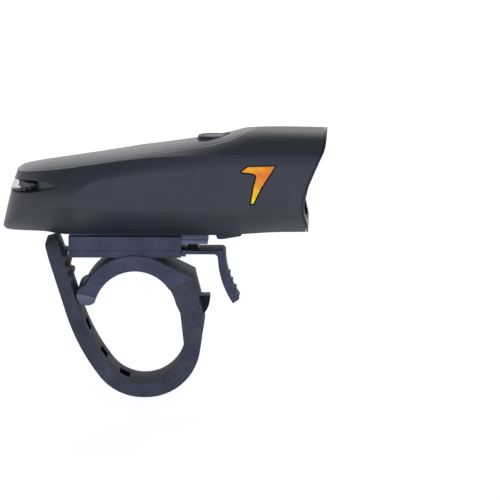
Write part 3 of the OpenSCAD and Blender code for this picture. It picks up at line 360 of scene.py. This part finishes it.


# Strap: one moulding in soft rubber, hooked on the tongue, round the loop and up to the pull tab.
# The real strap bends at the bottom of the loop when its tail is lifted off the lip; here band and tail
# are welded into one mesh. Its rubber is dull and mottled, the walls of its windows are painted darker as
# shade, and the narrow edge of its mitre is painted pale as a highlight.
def picked(piece, wanted):
    """Opens a piece for editing with only the faces selected that pass the test."""
    alone(piece)
    bpy.ops.object.mode_set(mode="EDIT")
    bpy.ops.mesh.select_mode(type="FACE")
    bpy.ops.mesh.select_all(action="DESELECT")
    bpy.ops.object.mode_set(mode="OBJECT")
    for face in piece.data.polygons:
        face.select = wanted(face)
    bpy.ops.object.mode_set(mode="EDIT")


RUBBER_GRAIN = 0.6 * MM
rubber = surface("moulded_rubber", "4a4a4c", 0.75, RUBBER_GRAIN, 0.06 * MM, specular=0.2, mottle=0.4)
# A near-black rubber: painted shade for the walls of the strap's windows.
pocket_shade_rubber = surface("painted_shade_rubber", "0e0e10", 0.8, RUBBER_GRAIN, 0.03 * MM, specular=0.1)
# A pale rubber: a painted highlight along the narrow edge of the mitre.
mitre_highlight_rubber = surface("painted_highlight_rubber", "85827e", 0.6, RUBBER_GRAIN, 0.03 * MM, specular=0.3)
SQUARE = 0.99
STRAP_EDGE = 0.4 * MM
POCKET_HALF = 5 * MM
POCKET_WALL = 0.7
SPLIT_GAP = 0.1 * MM
SPLIT_NEAR = 2 * SPLIT_GAP
SPLIT_WELD = 1.3 * SPLIT_GAP
LOOP_LOW = -15 * MM
BAR_R = 12.7 * MM
SADDLE_END = math.radians(33)
MITRE_TILT = math.radians(22.6)
MITRE_AT = Vector((math.cos(SADDLE_END), 0, math.sin(SADDLE_END))) * BAR_R
MITRE_NORMAL = Vector((-math.sin(MITRE_TILT), 0, math.cos(MITRE_TILT)))
MITRE_NEAR = 1.2 * STRAP_EDGE
MITRE_BACK = 1 * MM
MITRE_FACING = (0.15, 0.98)
strap = copied("strap_band", "strap")
tail = copied("strap_tail", "strap_tail_part")
split_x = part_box("strap_band")[0].x


def at_split(face):
    """Whether a face closes one of the strap's two solids where they meet."""
    near = abs(face.center.x - split_x) < SPLIT_NEAR and face.center.z < LOOP_LOW
    return near and abs(face.normal.x) > SQUARE


# The two solids lose the faces between them, and their rims are welded.
for half in (strap, tail):
    picked(half, at_split)
    bpy.ops.mesh.delete(type="FACE")
    bpy.ops.object.mode_set(mode="OBJECT")
alone(strap)
tail.select_set(True)
bpy.ops.object.join()
bpy.ops.object.mode_set(mode="EDIT")
bpy.ops.mesh.select_all(action="SELECT")
bpy.ops.mesh.remove_doubles(threshold=SPLIT_WELD)
bpy.ops.object.mode_set(mode="OBJECT")
softened(strap, STRAP_EDGE)
for material in (rubber, pocket_shade_rubber, mitre_highlight_rubber):
    strap.data.materials.append(material)
# Window walls take the painted shade, the faces along the mitre's narrow edge the painted highlight.
for face in strap.data.polygons:
    at = face.center
    if abs(face.normal.y) > POCKET_WALL and abs(at.y) < POCKET_HALF and at.z < 0:
        face.material_index = 1
    near = abs((at - MITRE_AT).dot(MITRE_NORMAL)) < MITRE_NEAR and at.x > MITRE_AT.x - MITRE_BACK
    if near and MITRE_FACING[0] < abs(face.normal.y) < MITRE_FACING[1] and at.z > 0:
        face.material_index = 2
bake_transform(strap)
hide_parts("strap_band", "strap_tail")


# Release lever: a thin springy arm with a ridged thumb piece, in the bracket's nylon.
# Its root is welded to the front of the shoe, and the catch that slides on the rail is smooth and painted
# near-black as shade under the lamp.
LEVER_EDGE = 0.2 * MM
lever = softened(copied("release_lever", "lever"), LEVER_EDGE)
dressed(lever, "release_lever", "release_lever", "nylon_black", nylon, painted_shade_nylon)
CATCH_HALF = 3.6 * MM
ARM_TOP = 18.45 * MM
# The catch's faces, on the arm's top under the lamp, take the painted shade.
for face in lever.data.polygons:
    if abs(face.center.y) < CATCH_HALF and face.center.z > ARM_TOP:
        face.material_index = 1


# Inside the lamp, from the back to the light unit: the cell in its cradle, the circuit board with its
# parts, the wires, and the light source on a finned aluminium sink. The bright bowl and the light source
# show through the front lens.
ABS_IOR = 1.54
cell_film = surface("shrink_film_pvc", "4f7f9c", 0.3, 0.8 * MM, 0.01 * MM)
cradle_plastic = surface("grey_moulded_abs", "7b7d80", 0.5, 0.5 * MM, 0.015 * MM, ior=ABS_IOR)
board_mask = surface("green_solder_mask", "1c5a36", 0.35, 0.5 * MM, 0.01 * MM)
steel = surface("zinc_plated_steel", "b9bbbd", 0.32, 0.4 * MM, 0.008 * MM, metallic=1.0)
switch_plastic = surface("black_lcp", "232427", 0.5, 0.4 * MM, 0.01 * MM)
socket_steel = surface("drawn_stainless_steel", "c6c8ca", 0.24, 0.4 * MM, 0.006 * MM, metallic=1.0)
epoxy = surface("clear_epoxy", "e4e7e0", 0.2, 0.5 * MM, 0.004 * MM)
wire_pvc = surface("red_wire_pvc", "b3271f", 0.42, 0.4 * MM, 0.01 * MM)
aluminium = surface("sand_cast_aluminium", "b4b6b9", 0.45, 0.5 * MM, 0.02 * MM, metallic=1.0)
white_mask = surface("white_solder_mask", "e9eae6", 0.4, 0.5 * MM, 0.006 * MM)
phosphor = surface("phosphor_silicone", "eec534", 0.3, 0.4 * MM, 0.006 * MM)
mirror = surface("vacuum_metallised_plastic", "dfe1e3", 0.09, 1.2 * MM, 0.004 * MM, metallic=1.0)
INSIDE = {
    "battery_cell": cell_film, "battery_cradle": cradle_plastic, "circuit_board": board_mask,
    "board_screws": steel, "foot_screws": steel, "tact_switch": switch_plastic, "usb_socket": socket_steel,
    "status_leds": epoxy, "battery_leads": wire_pvc, "led_leads": wire_pvc, "heat_sink": aluminium,
    "led_board": white_mask, "led_emitter": phosphor, "reflector": mirror, "lens_gasket": rubber,
    "cover_seal": rubber,
}
for node, material in INSIDE.items():
    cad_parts[node].data.materials.clear()
    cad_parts[node].data.materials.append(material)


# Housing: one deep ABS moulding from a spark-eroded tool, which leaves a fine even grain.
# Its flat side panels meet the curved sides in crisp lines, and the belt and the nose are creased.
# The rim of the rear mouth is rounded only as far as its fine mesh lets it.
ABS_GRAIN = 0.45 * MM
abs_plastic = surface("spark_eroded_abs", "2c2d31", 0.38, ABS_GRAIN, 0.02 * MM, ior=ABS_IOR, mottle=0.2)
# A pale polished ABS: a painted highlight on the lower rim of the rear mouth and on the bezel's outer rim.
rim_highlight_abs = surface("painted_highlight_rim", "8d8983", 0.25, ABS_GRAIN, 0.004 * MM, ior=ABS_IOR)
MOUTH_EDGE = 0.3 * MM
MOUTH_MIDDLE = 38.4 * MM
MOUTH_FRONT = -21 * MM
MOUTH_LOW = 36 * MM
MOUTH_HIGH = 42.2 * MM
MOUTH_TURN = math.radians(40)
PANEL_BACK = -19 * MM
PANEL_LOW = (31.5 * MM, 34 * MM)
PANEL_FACING = 0.997
CRISP_PANEL = math.radians(2.5)
CRISP_BELT = math.radians(4)
CRISP_NOSE = math.radians(9)
ROUNDED = math.radians(32)
LENGTHWISE = 0.9
UPRIGHT = 0.8
housing = copied("housing", "housing_shell")
bpy.ops.object.shade_smooth_by_angle(angle=ROUNDED)
mesh = bmesh.new()
mesh.from_mesh(housing.data)
weight = mesh.edges.layers.float.new("bevel_weight_edge")
# Crisp edges: where a panel ends, along the belt below it, and round the nose.
for edge in mesh.edges:
    if len(edge.link_faces) != 2:
        continue
    turn = edge.calc_face_angle(0)
    middle = (edge.verts[0].co + edge.verts[1].co) / 2
    along = (edge.verts[1].co - edge.verts[0].co).normalized()
    first, second = (abs(face.normal.y) > PANEL_FACING for face in edge.link_faces)
    if first != second and turn > CRISP_PANEL:
        edge.smooth = False
    if abs(along.x) > LENGTHWISE and PANEL_LOW[0] < middle.z < PANEL_LOW[1] and turn > CRISP_BELT:
        edge.smooth = False
    if middle.x < PANEL_BACK and abs(along.z) < UPRIGHT and turn > CRISP_NOSE:
        edge.smooth = False
    if middle.x < MOUTH_FRONT and MOUTH_LOW < middle.z < MOUTH_HIGH and turn > MOUTH_TURN:
        edge[weight] = 1.0
mesh.to_mesh(housing.data)
mesh.free()
rim = housing.modifiers.new("mouth_rim", "BEVEL")
rim.width = MOUTH_EDGE
rim.segments = 3
rim.limit_method = "WEIGHT"
# The rounded rim takes the painted highlight.
rim.material = 1
dressed(housing, "lamp", "housing", "abs_black", abs_plastic, rim_highlight_abs)
alone(housing)
bpy.ops.object.modifier_apply(modifier=rim.name)
# Only the lower half of the rim keeps the painted highlight.
for face in housing.data.polygons:
    if face.material_index == 1 and face.center.z > MOUTH_MIDDLE:
        face.material_index = 0


# Front bezel and slide rail: two smaller mouldings in the housing's ABS.
# The bezel snaps over the front edge: its outer rim is polished and painted pale as a highlight, its
# inside is matt and painted near-black as the shade inside the hood.
# The rail is screwed on from below; its paler colour is painted light on a face that sits in the housing's
# shade.
BEZEL_EDGE = 0.22 * MM
INSIDE_FACING = -0.02
FRONT_FACING = 0.5
RIM_SLOPE = (0.3, 0.95)
RIM_OUT = 0.2
bezel = softened(copied("front_bezel", "bezel"), BEZEL_EDGE)
# A near-black ABS: painted shade for the inside of the hood.
hood_shade_abs = surface("painted_shade_abs", "0b0b0c", 0.6, ABS_GRAIN, 0.015 * MM, ior=ABS_IOR, specular=0.2)
dressed(bezel, "lamp", "front_bezel", "abs_black", abs_plastic, hood_shade_abs, rim_highlight_abs)
# Faces that look inward are the inside; those that slope forward and outward are the rim.
for face in bezel.data.polygons:
    outward = face.normal.y * (1 if face.center.y > 0 else -1)
    if outward < INSIDE_FACING and face.normal.x < FRONT_FACING:
        face.material_index = 1
    elif RIM_SLOPE[0] < face.normal.x < RIM_SLOPE[1] and outward > RIM_OUT:
        face.material_index = 2
RAIL_EDGE = 0.15 * MM
rail = softened(copied("slide_foot", "rail"), RAIL_EDGE)
# A paler ABS: painted light for the rail's face in the housing's shade.
rail_painted_light_abs = surface("painted_light_rail_abs", "707177", 0.65, ABS_GRAIN, 0.04 * MM,
                   ior=ABS_IOR, specular=0.25, mottle=0.3)
dressed(rail, "lamp", "slide_foot", "abs_black", rail_painted_light_abs)


# Top strip: a separate grey ABS moulding with a satin face, set into the top on a rubber seal.
# A polished bead runs round its edge, coloured pale as a painted highlight: the line of light along that
# edge.
strip_plastic = surface("grey_satin_abs", "57585a", 0.3, ABS_GRAIN, 0.012 * MM, ior=ABS_IOR)
STRIP_EDGE = 0.22 * MM
strip = softened(copied("top_cover", "top_strip"), STRIP_EDGE, smooth=32, sharp=35, segments=2)
dressed(strip, "lamp", "top_cover", "strip_grey", strip_plastic)
# The bead's pale colour is a painted highlight.
highlight_bead_plastic = surface("painted_highlight_bead", "aaa399", 0.2, ABS_GRAIN, 0.004 * MM, ior=ABS_IOR)
BEAD_R = 0.28 * MM
BEAD_SINK = 0.18 * MM
BEAD_CLEAR = 6 * MM
BEAD_HOLE = (18 * MM, 31 * MM)
WALL_FACING = 0.3
TOP_FACING = 0.5
bead = copied("top_cover", "strip_bead")
mesh = bmesh.new()
mesh.from_mesh(bead.data)
# The bead follows the outline of the strip's top, and leaves out the button's hole.
for edge in mesh.edges:
    up = sorted(face.normal.z for face in edge.link_faces)
    middle = (edge.verts[0].co + edge.verts[1].co) / 2
    near_hole = abs(middle.y) < BEAD_CLEAR and BEAD_HOLE[0] < middle.x < BEAD_HOLE[1]
    edge.tag = len(up) == 2 and abs(up[0]) < WALL_FACING and up[1] > TOP_FACING and not near_hole
bmesh.ops.delete(mesh, geom=[e for e in mesh.edges if not e.tag], context="EDGES")
bmesh.ops.delete(mesh, geom=mesh.faces[:], context="FACES_ONLY")
bmesh.ops.delete(mesh, geom=[v for v in mesh.verts if not v.link_edges], context="VERTS")
mesh.to_mesh(bead.data)
mesh.free()
alone(bead)
bpy.ops.object.convert(target="CURVE")
bead = bpy.context.object
bead.data.bevel_depth = BEAD_R
bead.data.bevel_resolution = 3
bpy.ops.object.convert(target="MESH")
bead = bpy.context.object
for point in bead.data.vertices:
    point.co.z -= BEAD_SINK
bpy.ops.object.shade_smooth()
bead.data.materials.append(highlight_bead_plastic)
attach(bead, "lamp")


# Power button: a moulded silicone cap with two fine steps and a shallow dish on its top.
# It comes up through the strip's hole, and its lip keeps it in. The top is painted pale as lit from above,
# the wall painted dark as shaded.
# A pale silicone: painted light on the button's top.
painted_light_silicone = surface("painted_light_silicone", "66676a", 0.4, 0.5 * MM, 0.02 * MM)
BUTTON_EDGE = 0.45 * MM
STEP_W = 0.55 * MM
STEP_H = 0.25 * MM
DISH = 0.12 * MM
RISER = 0.1 * STEP_W
GROOVE = 0.6 * STEP_W
LEVEL = 0.02 * MM
WALL_TILT = 0.35
BUTTON_SMOOTH = math.radians(35)
button = softened(copied("power_button", "button"), BUTTON_EDGE)
button_top = max(v.co.z for v in button.data.vertices)
picked(button, lambda face: face.normal.z > SQUARE and face.center.z > button_top - LEVEL)
bpy.ops.mesh.inset(thickness=STEP_W, depth=0)
bpy.ops.mesh.inset(thickness=RISER, depth=-STEP_H)
bpy.ops.mesh.inset(thickness=GROOVE, depth=0)
bpy.ops.mesh.inset(thickness=RISER, depth=STEP_H)
bpy.ops.mesh.inset(thickness=STEP_W, depth=-DISH)
bpy.ops.object.mode_set(mode="OBJECT")
bpy.ops.object.shade_smooth_by_angle(angle=BUTTON_SMOOTH)
# A dark silicone: painted shade on the button's wall.
painted_shade_silicone = surface("painted_shade_silicone", "202123", 0.5, 0.5 * MM, 0.02 * MM, specular=0.3)
dressed(button, "power_button", "power_button", "button_rubber", painted_light_silicone, painted_shade_silicone)
for face in button.data.polygons:
    if face.normal.z < WALL_TILT:
        face.material_index = 1


# Side windows: clear amber acrylic set flush in both side panels, in a gasket with a flat lip, painted
# near-black as the shade of the groove round the window.
# The acrylic is deeper, and redder, towards the front and top, and pale yellow at its lower tip. Slanting
# facets behind it show as bands, and a faint painted glow stands for light that comes through the lamp.
GASKET_W = 0.06 * MM
GASKET_STEP = 0.06 * MM
GASKET_LIP = 0.4 * MM
GASKET_PROUD = 0.04 * MM
CORNER_MOST = 1.6
CORNER_LEAST = 0.3
PAINTED_GLOW = 0.2
FACET = 6.8 * MM
FACET_SHADE = 0.4
ACRYLIC_IOR = 1.49
LOW_TIP = "ffe600"
TOP_END = "d8860a"
UP_THE_WINDOW = ((0.3, "ffc400"), (0.55, "f8921e"), (0.78, "ee7a14"), (0.92, "ffb400"))
REDDER_FROM = 0.45
REDDER_TO = 0.95
REDDEST = 0.75
window_low, window_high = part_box("side_window_left")
amber, tree, shader, place = begun("amber_acrylic", ACRYLIC_IOR, specular=0.3)
spot = add(tree, "ShaderNodeSeparateXYZ", {"Vector": place})
rise = add(tree, "ShaderNodeMapRange", {
    "Value": spot.outputs["Z"], "From Min": window_low.z, "From Max": window_high.z,
})
ahead = add(tree, "ShaderNodeMapRange", {
    "Value": spot.outputs["X"], "From Min": window_low.x, "From Max": window_high.x,
})
ramp = add(tree, "ShaderNodeValToRGB", {"Fac": rise.outputs["Result"]})
stops = ramp.color_ramp.elements
stops[0].color = linear(LOW_TIP)
stops[1].color = linear(TOP_END)
for at, colour in UP_THE_WINDOW:
    stops.new(at).color = linear(colour)
redder = add(tree, "ShaderNodeMapRange", {
    "Value": ahead.outputs["Result"], "From Min": REDDER_FROM, "From Max": REDDER_TO, "To Max": REDDEST,
})
colour = add(tree, "ShaderNodeMix", {
    "Factor": redder.outputs["Result"], "A": ramp.outputs["Color"], "B": linear("e8610c"),
}, data_type="RGBA")
facets = add(tree, "ShaderNodeTexWave", {
    "Vector": place, "Scale": 1 / FACET, "Distortion": 1.5, "Detail": 1.0,
}, bands_direction="DIAGONAL", wave_profile="TRI")
gloss = add(tree, "ShaderNodeMapRange", {"Value": facets.outputs["Fac"], "To Min": 0.12, "To Max": 0.2})
bump = add(tree, "ShaderNodeBump", {
    "Height": facets.outputs["Fac"], "Strength": 0.4, "Distance": 0.15 * MM,
})
depth = add(tree, "ShaderNodeMath", {0: facets.outputs["Fac"], 1: FACET_SHADE}, operation="MULTIPLY")
colour = add(tree, "ShaderNodeMix", {
    "Factor": depth.outputs[0], "A": colour.outputs["Result"], "B": linear("c8741c"),
}, data_type="RGBA")
# A faint painted glow, though the window is no lamp.
shader.inputs["Emission Strength"].default_value = PAINTED_GLOW
tree.links.new(colour.outputs["Result"], shader.inputs["Emission Color"])
tree.links.new(colour.outputs["Result"], shader.inputs["Base Color"])
tree.links.new(gloss.outputs["Result"], shader.inputs["Roughness"])
tree.links.new(bump.outputs["Normal"], shader.inputs["Normal"])
# A near-black rubber: painted shade for the groove round the window.
gasket = surface("painted_shade_gasket", "0d0b0a", 0.6, 0.4 * MM, 0.01 * MM, specular=0.2)
for node, side in (("side_window_left", 1), ("side_window_right", -1)):
    window = flattened(copied(node, node.replace("side", "amber")))
    dressed(window, "lamp", node, "amber_plastic", amber, gasket)
    for face in window.data.polygons:
        face.material_index = 1
    picked(window, lambda face: face.normal.y * side > SQUARE)
    bpy.ops.mesh.inset(thickness=GASKET_W, depth=-GASKET_STEP)
    window.active_material_index = 0
    bpy.ops.object.material_slot_assign()
    bpy.ops.object.mode_set(mode="OBJECT")
    lip = flattened(copied(node, node.replace("side", "gasket")))
    front = max(lip.data.polygons, key=lambda f: f.normal.y * side * f.area)
    outline = [lip.data.vertices[i].co.copy() for i in front.vertices]
    lip.data.clear_geometry()
    mesh = bmesh.new()
    # The lip is a band round the window's outline, mitred at the corners.
    rings = []
    section = ((0, 0), (0, GASKET_PROUD), (GASKET_LIP, GASKET_PROUD), (GASKET_LIP, -GASKET_PROUD))
    for reach, proud in section:
        ring = []
        for i, at in enumerate(outline):
            back = (at - outline[i - 1]).normalized()
            on = (outline[(i + 1) % len(outline)] - at).normalized()
            away = (back + on).normalized().cross(Vector((0, side, 0)))
            half_turn = math.sqrt(max(0.0, (1 + back.dot(on)) / 2))
            mitre = min(CORNER_MOST, 1 / max(CORNER_LEAST, half_turn))
            ring.append(mesh.verts.new(at + away * reach * mitre + Vector((0, side * proud, 0))))
        rings.append(ring)
    for inner, outer in zip(rings, rings[1:]):
        for i in range(len(outline)):
            mesh.faces.new((inner[i - 1], inner[i], outer[i], outer[i - 1]))
    bmesh.ops.recalc_face_normals(mesh, faces=mesh.faces[:])
    mesh.to_mesh(lip.data)
    mesh.free()
    lip.data.materials.append(gasket)
    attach(lip, "lamp")


# Lenses: the clear front lens and the rear indicator lens, both in polished polycarbonate.
# The bezel holds the front lens. The indicator is moulded in small facets; its colour is painted light and
# shade:
# bright at its back end, where the white behind it shows through, dark towards the lamp, where the dark
# mouth lies behind it, and black where the mouth shades it.
POLYCARBONATE_IOR = 1.58
RIPPLE = 4 * MM
clear, tree, shader, place = begun("clear_polycarbonate", POLYCARBONATE_IOR)
shader.inputs["Base Color"].default_value = linear("f4f8fa")
shader.inputs["Transmission Weight"].default_value = 1.0
ripple = add(tree, "ShaderNodeTexNoise", {"Vector": place, "Scale": 1 / RIPPLE})
gloss = add(tree, "ShaderNodeMapRange", {"Value": ripple.outputs["Fac"], "To Min": 0.02, "To Max": 0.06})
bump = add(tree, "ShaderNodeBump", {
    "Height": ripple.outputs["Fac"], "Strength": 0.1, "Distance": 0.05 * MM,
})
tree.links.new(gloss.outputs["Result"], shader.inputs["Roughness"])
tree.links.new(bump.outputs["Normal"], shader.inputs["Normal"])
LENS_EDGE = 0.2 * MM
lens = softened(copied("front_lens", "lens"), LENS_EDGE)
dressed(lens, "lamp", "front_lens", "clear_plastic", clear)

low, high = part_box("rear_indicator_lens")
BRIGHT_TO = 0.3
CELL = 0.9 * MM
RAGGED = 0.12
NARROWING = 0.75
SHADED_FROM = 0.7
SHADED_TO = 0.82
# Painted light and shade: near-white at the back end, dark grey towards the lamp.
REAR_TIP_LIT = "d9d4cb"
LAMPWARD_SHADE = "3a3a3b"
ALONG = ((BRIGHT_TO, "fffaf0"), (BRIGHT_TO + 0.06, "3a3a3c"), (BRIGHT_TO + 0.25, "504f4e"))
fluted, tree, shader, place = begun("fluted_polycarbonate", POLYCARBONATE_IOR)
spot = add(tree, "ShaderNodeSeparateXYZ", {"Vector": place})
inward = add(tree, "ShaderNodeMapRange", {
    "Value": spot.outputs["X"], "From Min": low.x, "From Max": high.x,
})
cells = add(tree, "ShaderNodeTexVoronoi", {"Vector": place, "Scale": 1 / CELL})
edge = add(tree, "ShaderNodeMapRange", {
    "Value": cells.outputs["Distance"], "To Min": -RAGGED, "To Max": RAGGED,
})
ragged = add(tree, "ShaderNodeMath", {
    0: inward.outputs["Result"], 1: edge.outputs["Result"],
}, operation="ADD")
ramp = add(tree, "ShaderNodeValToRGB", {"Fac": ragged.outputs[0]})
stops = ramp.color_ramp.elements
stops[0].color = linear(REAR_TIP_LIT)
stops[1].color = linear(LAMPWARD_SHADE)
for at, colour in ALONG:
    stops.new(at).color = linear(colour)
height = add(tree, "ShaderNodeMapRange", {
    "Value": spot.outputs["Z"], "From Min": low.z, "From Max": high.z, "To Min": -1.0,
})
off = add(tree, "ShaderNodeMath", {0: height.outputs["Result"]}, operation="ABSOLUTE")
arrow = add(tree, "ShaderNodeMath", {
    0: inward.outputs["Result"], 1: NARROWING, 2: off.outputs[0],
}, operation="MULTIPLY_ADD")
shade = add(tree, "ShaderNodeMapRange", {
    "Value": arrow.outputs[0], "From Min": SHADED_FROM, "From Max": SHADED_TO,
})
tone = add(tree, "ShaderNodeMix", {
    "Factor": shade.outputs["Result"], "A": ramp.outputs["Color"], "B": linear("08080a"),
}, data_type="RGBA")
gloss = add(tree, "ShaderNodeMapRange", {
    "Value": cells.outputs["Distance"], "To Min": 0.08, "To Max": 0.2,
})
bump = add(tree, "ShaderNodeBump", {
    "Height": cells.outputs["Distance"], "Strength": 0.8, "Distance": 0.4 * MM,
})
# The same faint painted glow as on the amber windows.
shader.inputs["Emission Strength"].default_value = PAINTED_GLOW
tree.links.new(tone.outputs["Result"], shader.inputs["Emission Color"])
tree.links.new(tone.outputs["Result"], shader.inputs["Base Color"])
tree.links.new(gloss.outputs["Result"], shader.inputs["Roughness"])
tree.links.new(bump.outputs["Normal"], shader.inputs["Normal"])
indicator = softened(copied("rear_indicator_lens", "indicator"), LENS_EDGE)
dressed(indicator, "lamp", "rear_indicator_lens", "clear_plastic", fluted)


# Port cover: a soft rubber flap under the lamp, in front of the rail, moulded in the strap's rubber.
# It bends at its thin front end, and a plug on its back keeps it in the socket's opening.
COVER_EDGE = 0.3 * MM
cover = softened(copied("usb_cover", "port_cover"), COVER_EDGE)
dressed(cover, "usb_cover", "usb_cover", "rubber_black", rubber)
